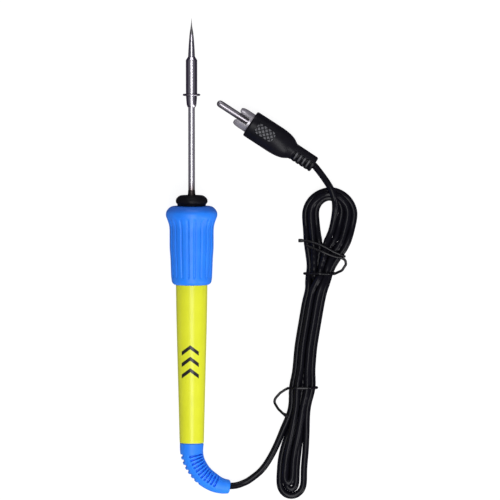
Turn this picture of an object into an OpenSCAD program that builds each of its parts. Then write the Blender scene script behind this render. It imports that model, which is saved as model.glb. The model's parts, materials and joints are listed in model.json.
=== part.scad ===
// Low-voltage pencil soldering iron: slide-on bit, thin heater shaft, fluted grip,
// hollow handle, bent cord boot, and a short lead tied in a hank with a phono plug.
// Lengths are in millimetres. The iron lies on its flange and its rear edge, nose to +Y.

/* [Handle] */
// Length of handle that shows behind the grip
handle_len = 72; // [66:1:84]
// Diameter at the rear end of the handle
handle_rear_d = 11; // [10.8:0.1:11.4]
// Diameter where the handle meets the grip
handle_front_d = 14.3; // [14:0.1:15]

/* [Grip] */
// Length of the front grip
grip_len = 35.8; // [34:0.2:42]
// Diameter of the plain band at the back of the grip
grip_d = 18.4; // [18:0.1:19]
// Diameter over the finger flange
flange_d = 23.4; // [22.6:0.1:26]
// Number of flutes round the grip
flutes = 20; // [14:1:24]
// Width of one flute
flute_w = 1.3; // [0.8:0.1:1.6]

/* [Nose] */
// Largest diameter of the nose collar
collar_d = 14.5; // [13:0.1:15]
// Length of collar in front of the grip
collar_len = 4.9; // [4.5:0.1:6]

/* [Shaft and bit] */
// Outside diameter of the heater shaft
shaft_d = 3; // [3:0.05:3.1]
// Length of shaft that shows between the collar and the bit
shaft_show = 37.6; // [34:0.2:50]
// Length of the bit from skirt to point
bit_len = 40.7; // [39:0.1:48]
// Diameter of the bit's straight sleeve
sleeve_d = 5.15; // [5.1:0.05:5.6]
// Diameter over the ring clip
clip_d = 8; // [7.4:0.1:9]
// Thickness of the ring clip
clip_t = 0.95; // [0.8:0.05:1.1]

/* [Cord] */
// Diameter of the cord
cord_d = 3; // [2.8:0.1:3]
// Height of the tied bundle
hank_h = 8.4; // [7.6:0.1:9]
// Diameter of the coated tie wire
tie_d = 1; // [0.8:0.1:1.1]

/* [Plug] */
// Diameter of the moulded plug body
plug_d = 12.8; // [12.4:0.1:13.4]
// Diameter of the outer contact
shell_d = 9.3; // [9.1:0.1:9.5]
// Length of the outer contact in front of the body
shell_len = 6.9; // [6:0.1:8]
// Diameter of the centre pin
pin_d = 3.2; // [3.15:0.01:3.2]
// Length of the centre pin in front of the body
pin_len = 17.8; // [14:0.1:18]

/* [Hidden] */

round_fn = 96;
small_fn = 32;
cord_sides = 8;
play = 0.05;            // radial running clearance and end gap between moving pieces

// Stations along the iron's own axis, from the rear end of the handle
nose_s = handle_len + grip_len;
crest_s = nose_s - 4;                  // back corner of the flange crest, which rests on the table
socket_s = nose_s - 8.8;               // floor of the socket that takes the collar
spigot_s = nose_s - 11.3;              // front end of the handle, inside the grip
flange_s = socket_s + 1;               // back of the ferrule's flange
washer_s = flange_s + 1.5 + play;
collar_s = washer_s + 0.8 + play;      // back end of the collar's spigot
head_s = nose_s + 0.1;
head_end_s = head_s + collar_len;
hub_s = head_end_s + 2.3;              // front end of the ferrule
bit_s = hub_s + shaft_show;
clip_s = bit_s + 5.6;
shaft_end_s = bit_s + 20.3;
point_s = bit_s + bit_len;
splice_s = handle_len + 8;             // middle of the crimped joints
jacket_end_s = handle_len - 12;

// Radii that several pieces share
shaft_r = shaft_d / 2;
shaft_bore = shaft_r - 0.3;
sleeve_r = 1.85;                       // ferrule where it runs through the collar
socket_r = 4.5;
spigot_r = 6.5;
tail_bore = 3.9;                       // rear bore of the handle, which takes the boot
front_bore = 5;
lead_x = 0.55;                         // half the spacing of the leads in the insulator
splice_x = 1.9;                        // half the spacing of the crimped joints

// How the iron lies
tilt = atan((flange_d - handle_rear_d) / 2 / crest_s);
rear_y = (handle_rear_d / 2 * sin(tilt) - point_s * cos(tilt)) / 2;
rear_z = handle_rear_d / 2 * cos(tilt);

// How the plug lies
plug_front = [26.6, 48.9];
plug_turn = 147;
pad_h = 0.3;
pin_seat = 1.9;
pin_step = 0.2;
plug_z = plug_d / 2 + pad_h;
body_len = 16.4;
shoulder_len = 6.2;
relief_d = 7.7;
relief_len = 12.1;

// Cord routes, with the height of the cord's centre as the third number
boot_route = [iron_at(0), iron_at(-4.5), [1.3, -105.6, 5], [4.8, -110.8, 4.6],
    [10.2, -114.4, 4], [16.9, -116.2, 3.2]];
tail_route = [[16.9, -116.2, 3.2], [20, -116, 2.5], [23, -115.1, 1.8], [26.5, -113.3, 1.6],
    [32, -108.7, 1.5], [36.5, -101.9, 1.5], [40.4, -93.6, 1.5]];
lead_route = [[62.6, 20, 4.2], [61, 22.4, 5], [59.2, 24.9, 5.8], [57.2, 27.8, 6.5],
    plug_at(-body_len - shoulder_len - relief_len), plug_at(-14)];

// Tied bundle: middle of the bundle and its width, from the bottom fold to the neck
bundle = [[45.3, -114.4, 13.8], [46, -104.6, 13.9], [47.4, -93.7, 12.4], [48.5, -83.7, 10.9],
    [50.3, -71, 10.4], [52, -52, 10.4], [55.5, -31.5, 9.8], [57.8, -22.4, 10.2],
    [60.8, -8.7, 17.7]];
loop_at = [62.9, 7];
loop_r = 12.7;
loop_h = 6.6;
band_lower = [50.35, -71.2];
band_upper = [58.2, -19.6];

// ---- Functions ----

// Point at station s on the iron's axis
function iron_at(s) = [0, rear_y + s * cos(tilt), rear_z + s * sin(tilt)];

// Point at distance u along the plug, counted from the front of its body
function plug_at(u) = [plug_front[0] + u * cos(plug_turn), plug_front[1] + u * sin(plug_turn), plug_z];

function unit(v) = v / norm(v);

// Smooth curve through the points, with n steps between neighbours
function spline(p, n) = concat(
    [for (i = [0 : len(p) - 2], k = [0 : n - 1])
        let (t = k / n, a = p[max(i - 1, 0)], b = p[i], c = p[i + 1], d = p[min(i + 2, len(p) - 1)])
        (2 * b + (c - a) * t + (2 * a - 5 * b + 4 * c - d) * t * t
            + (3 * b - a - 3 * c + d) * t * t * t) / 2],
    [p[len(p) - 1]]);

function heading(p, i) = unit(p[min(i + 1, len(p) - 1)] - p[max(i - 1, 0)]);

// Ring of points round a path, square to it
function ring(p, i, r, sides, up) =
    let (d = heading(p, i), a = unit(cross(d, up)), b = cross(a, d))
    [for (k = [0 : sides - 1]) p[i] + r * (cos(360 * k / sides) * a + sin(360 * k / sides) * b)];

// Helix along the axis: radius, pitch, turns and start
function helix(r, pitch, turns, start, steps) =
    [for (k = [0 : turns * steps]) [r * cos(360 * k / steps), r * sin(360 * k / steps),
        start + pitch * k / steps]];

// ---- Helpers ----

// Tube swept along a path; r is one radius or one for each point
module tube(path, r, sides = cord_sides, up = [0, 0, 1]) {
    n = len(path);
    points = [for (i = [0 : n - 1]) each ring(path, i, is_list(r) ? r[i] : r, sides, up)];
    wall = [for (i = [0 : n - 2], k = [0 : sides - 1]) let (m = (k + 1) % sides)
        [i * sides + k, i * sides + m, (i + 1) * sides + m, (i + 1) * sides + k]];
    start_cap = [for (k = [sides - 1 : -1 : 0]) k];
    end_cap = [for (k = [0 : sides - 1]) (n - 1) * sides + k];
    polyhedron(points, concat(wall, [start_cap, end_cap]), convexity = 6);
}

// Places what is drawn along +Z onto the iron's axis
module on_iron() {
    translate(iron_at(0)) rotate([tilt - 90, 0, 0]) children();
}

// Places what is drawn along +Z onto the plug's axis, pin forwards
module on_plug() {
    translate(plug_at(0)) rotate([0, 0, plug_turn]) rotate([0, 90, 0]) children();
}

// Solid of revolution from [radius, station] points
module turned(profile) {
    rotate_extrude($fn = round_fn) polygon(profile);
}

// Straight tube between two stations
module pipe(r_out, r_in, s0, s1, fn = small_fn) {
    translate([0, 0, s0]) difference() {
        cylinder(h = s1 - s0, r = r_out, $fn = fn);
        translate([0, 0, -1]) cylinder(h = s1 - s0 + 2, r = r_in, $fn = fn);
    }
}

// One piece on each side of the axis
module pair(x) {
    for (side = [-1, 1]) translate([side * x, 0, 0]) children();
}

// ---- Handle and grip ----

module handle() {
    rear_r = handle_rear_d / 2;
    front_r = handle_front_d / 2;
    bend_s = handle_len * 0.78;
    color("yellow") on_iron() turned([[tail_bore, 0], [rear_r, 0], [front_r - 0.2, bend_s],
        [front_r, handle_len], [spigot_r, handle_len], [spigot_r, spigot_s],
        [front_bore, spigot_s], [front_bore, 30], [tail_bore, 30]]);
}

module front_grip() {
    band_r = grip_d / 2;
    hold_r = band_r + 0.8;
    crest_r = flange_d / 2;
    depth = 0.35;
    flute_s0 = handle_len + 4.4;
    flute_s1 = crest_s - 2.4;
    color("dodgerblue") on_iron() difference() {
        turned([[spigot_r, handle_len], [band_r - 0.7, handle_len], [band_r - 0.15, handle_len + 0.4],
            [band_r, handle_len + 1], [band_r, flute_s0], [band_r + 0.45, handle_len + 12],
            [hold_r, handle_len + 17], [hold_r, crest_s - 4.6], [hold_r + 0.45, crest_s - 3],
            [crest_r - 0.4, crest_s - 1.4], [crest_r, crest_s], [crest_r, crest_s + 0.8],
            [crest_r - 0.4, nose_s - 1.6], [crest_r - 1.4, nose_s - 0.5], [crest_r - 2.7, nose_s],
            [socket_r, nose_s], [socket_r, socket_s], [2.2, socket_s], [2.2, spigot_s],
            [spigot_r, spigot_s]]);
        // Flutes lean out with the swell of the grip
        for (i = [0 : flutes - 1]) rotate(360 * i / flutes)
            translate([band_r + flute_w / 2 - depth, 0, flute_s0])
                rotate([0, atan(0.8 / 22), 0]) cylinder(h = flute_s1 - flute_s0, d = flute_w, $fn = small_fn);
    }
}

// ---- Nose: what clamps the heater ----

module back_washer() {
    color("ivory") on_iron() pipe(socket_r - 0.2, shaft_r + 0.1, socket_s, flange_s);
}

module shaft_ferrule() {
    color("dimgray") on_iron() turned([[shaft_r, flange_s], [socket_r - 0.3, flange_s],
        [socket_r - 0.3, flange_s + 1.5], [sleeve_r, flange_s + 1.5], [sleeve_r, head_end_s + 0.1],
        [shaft_r + 0.06, hub_s], [shaft_r, hub_s]]);
}

module collar_washer() {
    color("tan") on_iron() pipe(socket_r - play, sleeve_r + play, washer_s, washer_s + 0.8);
}

module nose_collar() {
    head_r = collar_d / 2;
    color([0.13, 0.12, 0.14]) on_iron() turned([[sleeve_r + play, collar_s],
        [socket_r - play, collar_s], [socket_r - play, head_s], [head_r - 0.8, head_s],
        [head_r - 0.45, head_s + 0.4], [head_r - 0.05, head_s + 1.7], [head_r, head_s + 2.2],
        [head_r - 0.05, head_s + 2.7], [head_r - 0.5, head_s + 3.7], [head_r - 1.2, head_end_s - 0.4],
        [head_r - 1.85, head_end_s], [sleeve_r + play, head_end_s]]);
}

// ---- Heater ----

module heater_shaft() {
    color("silver") on_iron() turned([[shaft_bore, socket_s - 3], [shaft_r, socket_s - 3],
        [shaft_r, shaft_end_s - 0.4], [shaft_r - 0.4, shaft_end_s], [0, shaft_end_s],
        [0, shaft_end_s - 0.8], [shaft_bore, shaft_end_s - 0.8]]);
}

module coil_former() {
    color("white") on_iron() translate([0, 0, bit_s - 2]) cylinder(h = 21, r = 0.45, $fn = small_fn);
}

module heating_coil() {
    color("darkorange") on_iron()
        tube(helix(0.64, 1.2, 15, bit_s - 1, 10), 0.12, 5);
}

module coil_sleeve() {
    color("beige") on_iron() pipe(shaft_bore - 0.04, 0.9, bit_s - 3, shaft_end_s - 1);
}

module lead_insulator() {
    color("white") on_iron() difference() {
        translate([0, 0, socket_s - 7]) cylinder(h = bit_s - 4 - socket_s + 7, r = shaft_bore - 0.1, $fn = small_fn);
        pair(lead_x) translate([0, 0, socket_s - 8]) cylinder(h = 80, r = 0.24, $fn = small_fn);
    }
}

module element_leads() {
    color("gray") on_iron() for (side = [-1, 1])
        tube([[side * lead_x, 0, bit_s - 2.2], [side * lead_x, 0, socket_s - 8],
            [side * splice_x, 0, splice_s + 6], [side * splice_x, 0, splice_s + 0.5]], 0.2, 6, [0, 1, 0]);
}

// ---- Joints to the cord ----

module crimp_barrels() {
    color("gold") on_iron() pair(splice_x) pipe(0.9, 0.6, splice_s - 4, splice_s + 4);
}

module splice_sleeves() {
    color("lemonchiffon") on_iron() pair(splice_x) pipe(1.35, 0.95, splice_s - 7, splice_s + 7);
}

// Path of one core, from the cut jacket to the crimped joint
function core_path(side, last_s) = [[side * 0.75, 0, jacket_end_s], [side * 0.75, 0, jacket_end_s + 1.5],
    [side * splice_x, 0, jacket_end_s + 9], [side * splice_x, 0, last_s]];

module cord_cores() {
    color("orangered") on_iron() for (side = [-1, 1])
        tube(core_path(side, splice_s - 0.5), 0.35, 6, [0, 1, 0]);
}

module core_insulation() {
    color("firebrick") on_iron() for (side = [-1, 1]) difference() {
        tube(core_path(side, splice_s - 7.2), 0.7, cord_sides, [0, 1, 0]);
        tube([for (p = core_path(side, splice_s)) p - [0, 0, p[2] < jacket_end_s + 1 ? 1 : 0]],
            0.42, cord_sides, [0, 1, 0]);
    }
}

module cord_clamp() {
    color("darkgray") on_iron() pipe(3, cord_d / 2 + 0.02, 8.1, 12.1);
}

// Path of the cord from its cut jacket, down the handle and through the boot
function inner_path() = concat([iron_at(jacket_end_s), iron_at(30), iron_at(8)], spline(boot_route, 6));

module cord_inner() {
    color("black") tube(inner_path(), cord_d / 2);
}

module cord_boot() {
    path = spline(boot_route, 6);
    last = len(path) - 1;
    rib_step = 2;
    first_rib = 8;
    color("dodgerblue") difference() {
        union() {
            on_iron() turned([[0, -4.6], [handle_rear_d / 2 - 0.3, -4.6],
                [handle_rear_d / 2 - 0.05, 0], [tail_bore, 0], [tail_bore, 8], [0, 8]]);
            tube(path, [for (i = [0 : last]) 3.7 - 1.5 * i / last], 16);
            for (i = [first_rib : rib_step : last]) {
                d = heading(path, i);
                translate(path[i]) rotate([0, acos(d[2]), atan2(d[1], d[0])])
                    cylinder(h = 1.1, r = 5.6 - 2.65 * pow(i / last, 1.5), center = true, $fn = small_fn);
            }
        }
        tube(concat([iron_at(9)], path, [path[last] + heading(path, last)]), cord_d / 2 + 0.1, 16);
    }
}

// ---- Cord, bundle and ties ----

module cord_tail() {
    color("black") tube(spline(tail_route, 2), cord_d / 2);
}

module cord_plug_lead() {
    color("black") tube(spline(lead_route, 2), cord_d / 2);
}

module tie_band(at, w, h) {
    corner = 2;
    translate([at[0], at[1], 0]) rotate([90, 0, 0]) linear_extrude(tie_d, center = true) difference() {
        hull() for (x = [-1, 1], z = [corner + tie_d, h + tie_d - corner])
            translate([x * (w / 2 - corner), z]) circle(corner + tie_d, $fn = small_fn);
        hull() for (x = [-1, 1], z = [corner + tie_d, h + tie_d - corner])
            translate([x * (w / 2 - corner), z]) circle(corner, $fn = small_fn);
    }
}

module band_at_neck() {
    tie_band(band_upper, 9.6, hank_h - 1.6);
}

module band_below() {
    tie_band(band_lower, 9.2, hank_h - 1.6);
}

module cord_hank() {
    color([0.1, 0.1, 0.12]) difference() {
        union() {
            linear_extrude(hank_h) for (i = [0 : len(bundle) - 2]) hull() for (p = [bundle[i], bundle[i + 1]])
                translate([p[0], p[1]]) circle(d = p[2], $fn = small_fn);
            linear_extrude(loop_h) hull() {
                translate(loop_at) circle(loop_r, $fn = 64);
                translate([60.8, -8.7]) circle(8.8, $fn = 64);
            }
        }
        translate([0, 0, -1]) linear_extrude(hank_h + 2) hull() {
            translate([61.3, 11.4]) circle(3.6, $fn = small_fn);
            translate([61.4, -4]) circle(2, $fn = small_fn);
        }
        translate([45, -14.5, loop_h]) cube([34, 40, hank_h]);
        band_at_neck();
        band_below();
    }
}

module tie_upper() {
    over = loop_h + tie_d / 2 + 0.1;
    color([0.15, 0.15, 0.17]) union() {
        band_at_neck();
        tube(spline([[48.5, -4.4, over], [53, -4.6, over], [58.5, -6.5, over], [64, -8.8, over],
            [68.6, -10.6, over]], 2), tie_d / 2, 6);
        tube(spline([[52.4, -6.8, over], [58, -8.8, over], [63.6, -11, over], [68.6, -10.6, over],
            [70, -12.4, 6.4], [69.4, -15.6, 5.4], [66.8, -18.4, 5], [62.8, -19.6, 5]], 2), tie_d / 2, 6);
    }
}

module tie_lower() {
    color([0.15, 0.15, 0.17]) union() {
        band_below();
        tube(spline([[45.2, -71.2, 5], [43.2, -71.6, 4.6], [40.1, -73.7, 4], [37.5, -77.4, 3.6],
            [39.4, -81, 4], [42, -83.8, 5]], 2), tie_d / 2, 6);
        translate([42.2, -84, 5]) sphere(1, $fn = small_fn);
    }
}

// ---- Plug ----

// Outline of the body's back half: straight, rounded shoulder, then the strain relief
function body_profile() = let (r = plug_d / 2, n = 6) concat(
    [[0, 0], [r - 0.5, 0], [r, -0.5]],
    [for (k = [0 : n]) [relief_d / 2 + 0.5 + (r - relief_d / 2 - 0.5) * cos(90 * k / n),
        -body_len - shoulder_len * sin(90 * k / n)]],
    [[relief_d / 2, -body_len - shoulder_len], [relief_d / 2 - 0.2, -body_len - shoulder_len - relief_len],
        [0, -body_len - shoulder_len - relief_len]]);

module grip_pad() {
    step = 1.7;
    intersection() {
        for (i = [-3 : 3], j = [-2 : 2]) translate([plug_d / 2 - 1, j * step, -7.4 + i * step])
            rotate([45, 0, 0]) cube([2 * (1 + pad_h - 0.1 * abs(j)), 0.95, 0.95], center = true);
        translate([0, 0, -7.4]) rotate([0, 90, 0]) scale([1, 0.79, 1]) cylinder(h = plug_d, r = 5, $fn = small_fn);
    }
}

module plug_body() {
    relief_back = body_len + shoulder_len + relief_len;
    color([0.12, 0.12, 0.14]) on_plug() difference() {
        union() {
            turned(body_profile());
            grip_pad();
            rotate(180) grip_pad();
        }
        // Slots that let the strain relief bend
        for (i = [0 : 3]) for (turn = [0, 180])
            rotate(turn + 90 * (i % 2)) translate([1.9, -5, -body_len - shoulder_len - 1.6 - 2.4 * i])
                cube([5, 10, 1]);
        translate([0, 0, -relief_back - 1]) cylinder(h = relief_back, r = cord_d / 2 + 0.1, $fn = small_fn);
        translate([0, 0, -12]) cylinder(h = 9, r = 4, $fn = small_fn);
        translate([0, 0, -3]) cylinder(h = 4, r = shell_d / 2, $fn = round_fn);
    }
}

module plug_insulator() {
    color("white") on_plug() pipe(shell_d / 2 - 0.4, pin_d / 2 - pin_step, -2.5, 1.4, round_fn);
}

module plug_shell() {
    gap_w = 5.2;
    color("silver") on_plug() difference() {
        turned([[shell_d / 2 - 0.4, -3], [shell_d / 2, -3], [shell_d / 2, shell_len - 0.6],
            [shell_d / 2 - 0.2, shell_len], [shell_d / 2 - 0.4, shell_len]]);
        translate([-shell_d, -gap_w / 2, 1.4]) cube([2 * shell_d, gap_w, shell_len]);
    }
}

module plug_pin() {
    r = pin_d / 2;
    color("silver") on_plug() difference() {
        union() {
            translate([0, 0, -6]) cylinder(h = 6 + pin_seat, r = r - pin_step, $fn = round_fn);
            translate([0, 0, pin_seat]) cylinder(h = pin_len - pin_seat - r, r = r, $fn = round_fn);
            translate([0, 0, pin_len - r]) sphere(r, $fn = round_fn);
        }
        translate([0, 0, -7]) cylinder(h = 4, r = 0.6, $fn = small_fn);
    }
}

module plug_cores() {
    color("orangered") on_plug() {
        tube([[0, 0, -13.9], [0, 0, -3.4]], 0.5, 6, [0, 1, 0]);
        tube([[0, 1, -13.9], [0, 1.1, -11.5], [0, 3.4, -8], [0, 3.4, -3.1]], 0.35, 6, [1, 0, 0]);
    }
}

// ---- Bit ----

module bit_clip() {
    section = clip_t / 2;
    color("silver") on_iron() translate([0, 0, clip_s]) difference() {
        rotate_extrude($fn = round_fn) {
            translate([2.4, -section]) square([clip_d / 2 - 2.4 - section, clip_t]);
            translate([clip_d / 2 - section, 0]) circle(section, $fn = small_fn);
        }
        translate([-0.8, 0, -1]) cube([1.6, 5, 2]);
    }
}

module bit() {
    bore_r = shaft_r + 0.04;
    sleeve = sleeve_d / 2;
    groove = clip_t / 2 + play;
    cone_s = bit_s + 22.8;
    color("gainsboro") on_iron() difference() {
        turned([[bore_r, bit_s], [sleeve - 0.35, bit_s], [sleeve - 0.2, bit_s + 0.3],
            [sleeve - 0.1, clip_s - groove], [2.35, clip_s - groove], [2.35, clip_s + groove],
            [sleeve, clip_s + groove], [sleeve, cone_s - 1.5], [sleeve - 0.3, cone_s - 1],
            [1.6, cone_s], [1.45, cone_s + 3], [1.1, cone_s + 7.5], [0.9, cone_s + 10.1],
            [0.45, cone_s + 13], [0, point_s], [0, shaft_end_s + 0.1], [bore_r, shaft_end_s + 0.1]]);
        // Slot that lets the clip squeeze the skirt onto the shaft
        translate([-0.3, 0, bit_s - 1]) cube([0.6, 4, 13]);
        // Slanted facet ground on one side of the point
        translate([0.7, -2, cone_s + 10.4]) rotate([0, -7.5, 0]) cube([2, 4, 3]);
    }
}

handle();
front_grip();
back_washer();
shaft_ferrule();
heater_shaft();
coil_former();
heating_coil();
coil_sleeve();
lead_insulator();
element_leads();
crimp_barrels();
splice_sleeves();
cord_cores();
core_insulation();
cord_clamp();
cord_inner();
cord_boot();
cord_tail();
cord_hank();
cord_plug_lead();
tie_upper();
tie_lower();
plug_body();
plug_insulator();
plug_shell();
plug_pin();
plug_cores();
collar_washer();
nose_collar();
bit_clip();
bit();
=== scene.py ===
import json
import math
import bmesh
import bpy
import numpy as np
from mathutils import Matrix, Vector


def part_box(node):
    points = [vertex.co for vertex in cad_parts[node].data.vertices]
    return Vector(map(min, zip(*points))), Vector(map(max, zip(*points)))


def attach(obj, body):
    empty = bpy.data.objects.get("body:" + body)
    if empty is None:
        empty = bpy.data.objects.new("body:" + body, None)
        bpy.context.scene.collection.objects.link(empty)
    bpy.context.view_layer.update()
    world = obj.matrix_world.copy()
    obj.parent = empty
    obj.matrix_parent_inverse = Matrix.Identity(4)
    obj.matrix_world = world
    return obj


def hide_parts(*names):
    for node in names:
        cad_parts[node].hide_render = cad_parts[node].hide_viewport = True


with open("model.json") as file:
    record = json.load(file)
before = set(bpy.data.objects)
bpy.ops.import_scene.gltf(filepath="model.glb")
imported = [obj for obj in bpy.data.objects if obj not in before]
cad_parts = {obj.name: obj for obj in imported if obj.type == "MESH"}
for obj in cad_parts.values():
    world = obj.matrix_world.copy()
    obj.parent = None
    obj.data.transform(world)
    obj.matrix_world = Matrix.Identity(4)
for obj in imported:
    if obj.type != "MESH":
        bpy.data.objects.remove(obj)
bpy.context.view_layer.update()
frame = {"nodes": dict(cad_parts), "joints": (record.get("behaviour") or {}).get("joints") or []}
mm = 0.001
print("frame:", len(frame["nodes"]), "nodes")

# camera in mm except its height; lights in metres and watts
view = {"middle": (26.5, -8.7), "span": 227.3, "plane": 8.0, "height": 2.5}
lights = {
    "softbox": {"place": (0.08, -0.62, 1.20), "size": (0.60, 2.0), "power": 21},
    "side": {"place": (1.10, -0.85, 0.50), "size": (0.36, 1.4), "power": 8},
    "front": {"place": (0.05, 1.25, 0.55), "size": (1.0, 0.4), "power": 4},
}


def makeCamera():
    # straight down; lens = sensor * distance / span, so the span fills the view at the plane's height
    camera = bpy.data.cameras.new("camera")
    camera.sensor_width = 36
    camera.lens = camera.sensor_width * (view["height"] - view["plane"] * mm) / (view["span"] * mm)
    holder = bpy.data.objects.new("camera", camera)
    holder.location = (view["middle"][0] * mm, view["middle"][1] * mm, view["height"])
    bpy.context.scene.collection.objects.link(holder)
    bpy.context.scene.camera = holder


def makeLight(name, place, size, power, aim=(0.03, -0.01, 0.0)):
    # a rectangle of light turned to face the aim
    lamp = bpy.data.lights.new(name, "AREA")
    lamp.shape = "RECTANGLE"
    lamp.size, lamp.size_y = size
    lamp.energy = power
    holder = bpy.data.objects.new(name, lamp)
    holder.location = place
    holder.rotation_euler = (Vector(aim) - Vector(place)).to_track_quat("-Z", "Y").to_euler()
    holder.visible_camera = False
    bpy.context.scene.collection.objects.link(holder)


makeCamera()
for lightName, light in lights.items():
    makeLight(lightName, **light)
bpy.context.scene.view_settings.view_transform = "Standard"


# curves and paths, all in mm until the mesh is made
def unit(vectors):
    # each vector over its own length
    return vectors / np.linalg.norm(vectors, axis=-1, keepdims=True)


def smoothLine(points, steps=12):
    # Catmull-Rom: each stretch blends the two cubics that its four nearest points give
    points = np.asarray(points, float)
    padded = np.vstack([2 * points[0] - points[1], points, 2 * points[-1] - points[-2]])
    t = np.linspace(0, 1, steps, endpoint=False)[None, :, None]
    a, b, c, d = (padded[k:len(padded) - 3 + k][:, None, :] for k in range(4))
    square = (2 * a - 5 * b + 4 * c - d) * t ** 2
    cube = (3 * b - a - 3 * c + d) * t ** 3
    line = 0.5 * (2 * b + (c - a) * t + square + cube)
    return np.vstack([line.reshape(-1, points.shape[1]), points[-1:]])


def lengthAlong(points):
    # running sum of the distances from point to point
    return np.concatenate([[0], np.cumsum(np.linalg.norm(np.diff(points, axis=0), axis=1))])


def evenly(points, gap):
    # the same line with its points a fixed gap apart
    along = lengthAlong(points)
    at = np.linspace(0, along[-1], max(2, int(round(along[-1] / gap)) + 1))
    return np.stack([np.interp(at, along, points[:, k]) for k in range(points.shape[1])], axis=1)


def straightPath(start, direction):
    # centre = start + u * direction, side = direction x up, top = side x direction
    start, direction = np.asarray(start, float), unit(np.asarray(direction, float))
    side = unit(np.cross(direction, (0, 0, 1)))
    top = np.cross(side, direction)

    def path(u):
        shape = np.ones((len(u), 1))
        return start + u[:, None] * direction, shape * side, shape * top
    return path


def curvedPath(points, up=(0, 0, 1)):
    # centre follows the line; the side vector is carried along it without twist
    points = np.asarray(points, float)
    along = lengthAlong(points)
    ahead = unit(np.gradient(points, axis=0))
    sides = np.zeros_like(points)
    side = unit(np.cross(ahead[0], up))
    for i, direction in enumerate(ahead):
        side = unit(side - np.dot(side, direction) * direction)
        sides[i] = side
    tops = np.cross(sides, ahead)

    def path(u):
        inside = np.clip(u, 0, along[-1])
        beyond = (u - inside)[:, None]
        pick = [np.stack([np.interp(inside, along, field[:, k]) for k in range(3)], axis=1)
                for field in (points, ahead, sides, tops)]
        return pick[0] + beyond * unit(pick[1]), unit(pick[2]), unit(pick[3])
    return path


def rounded(corners, steps=5):
    # outline from (along, radius, fillet) corners; each fillet is a quadratic curve across its corner
    corners = [tuple(c) + (0,) * (3 - len(c)) for c in corners]
    out = []
    for i, (u, r, fillet) in enumerate(corners):
        here = np.array([u, r], float)
        if not fillet or i in (0, len(corners) - 1):
            out.append(here)
            continue
        before = np.array(corners[i - 1][:2], float) - here
        after = np.array(corners[i + 1][:2], float) - here
        first = here + before * min(0.5, fillet / np.linalg.norm(before))
        last = here + after * min(0.5, fillet / np.linalg.norm(after))
        for t in np.linspace(0, 1, steps):
            out.append((1 - t) ** 2 * first + 2 * t * (1 - t) * here + t ** 2 * last)
    return np.array(out)


def finer(outline, gap):
    # adds points so that no step of the outline is longer than gap
    pieces = [outline[:1]]
    for a, b in zip(outline[:-1], outline[1:]):
        n = max(1, int(math.ceil(np.linalg.norm(b - a) / gap)))
        pieces.append(a + (b - a) * np.linspace(0, 1, n + 1)[1:, None])
    return np.vstack(pieces)


def step(low, high, x):
    # smooth step t * t * (3 - 2 t): 0 below low, 1 above high
    t = np.clip((x - low) / (high - low), 0, 1)
    return t * t * (3 - 2 * t)


def window(x, low, full, fall, end):
    # rises from low to full and falls from fall to end, with a smooth step on each side
    return step(low, full, x) * (1 - step(fall, end, x))


# meshes
def gridMesh(name, points, loopAlong):
    # quads between neighbouring rows and columns; columns always close, rows close if loopAlong
    rows, columns = points.shape[:2]
    index = np.arange(rows * columns).reshape(rows, columns)
    right = np.roll(index, -1, axis=1)
    if loopAlong:
        below, belowRight = np.roll(index, -1, axis=0), np.roll(right, -1, axis=0)
        quads = np.stack([index, below, belowRight, right], axis=-1)
    else:
        quads = np.stack([index[:-1], index[1:], right[1:], right[:-1]], axis=-1)
    mesh = bpy.data.meshes.new(name)
    mesh.from_pydata((points.reshape(-1, 3) * mm).tolist(), [], quads.reshape(-1, 4).tolist())
    return mesh


def shade(mesh, sharp=38):
    # smooth all over but for edges that turn more than the sharp angle
    mesh.polygons.foreach_set("use_smooth", np.ones(len(mesh.polygons), bool))
    mesh.set_sharp_from_angle(angle=math.radians(sharp))
    return mesh


def closeMesh(mesh, sharp=38):
    # merges seams and poles, turns faces outwards, and keeps only real edges sharp
    work = bmesh.new()
    work.from_mesh(mesh)
    bmesh.ops.remove_doubles(work, verts=work.verts, dist=1e-6)
    bmesh.ops.dissolve_degenerate(work, edges=work.edges, dist=1e-7)
    bmesh.ops.recalc_face_normals(work, faces=work.faces)
    work.to_mesh(mesh)
    work.free()
    return shade(mesh, sharp)


def swept(name, path, outline, gap, sides=96, shape=None, sharp=38):
    # a ring of each (along, radius) pair round the path: centre + radius * (sin * side + cos * top)
    hollow = outline[0, 1] > 0
    outline = finer(np.vstack([outline, outline[:1]]), gap)[:-1] if hollow else finer(outline, gap)
    u, r = outline[:, 0], outline[:, 1]
    angle = np.linspace(0, 2 * math.pi, sides, endpoint=False)
    radius = np.repeat(r[:, None], sides, axis=1)
    if shape is not None:
        radius = shape(u[:, None], angle[None, :], radius)
    centre, side, top = path(u)
    around = np.sin(angle)[None, :, None] * side[:, None, :] + np.cos(angle)[None, :, None] * top[:, None, :]
    points = centre[:, None, :] + radius[:, :, None] * around
    return closeMesh(gridMesh(name, points, loopAlong=hollow), sharp)


def addPiece(name, mesh, finish, body, slotName, *nodes):
    # an object of its own that rides on a body and stands for the nodes named
    piece = bpy.data.objects.new(name, mesh)
    bpy.context.scene.collection.objects.link(piece)
    mesh.materials.append(finishes[finish].material)
    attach(piece, body)
    if nodes:
        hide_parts(*nodes)
    return piece


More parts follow.
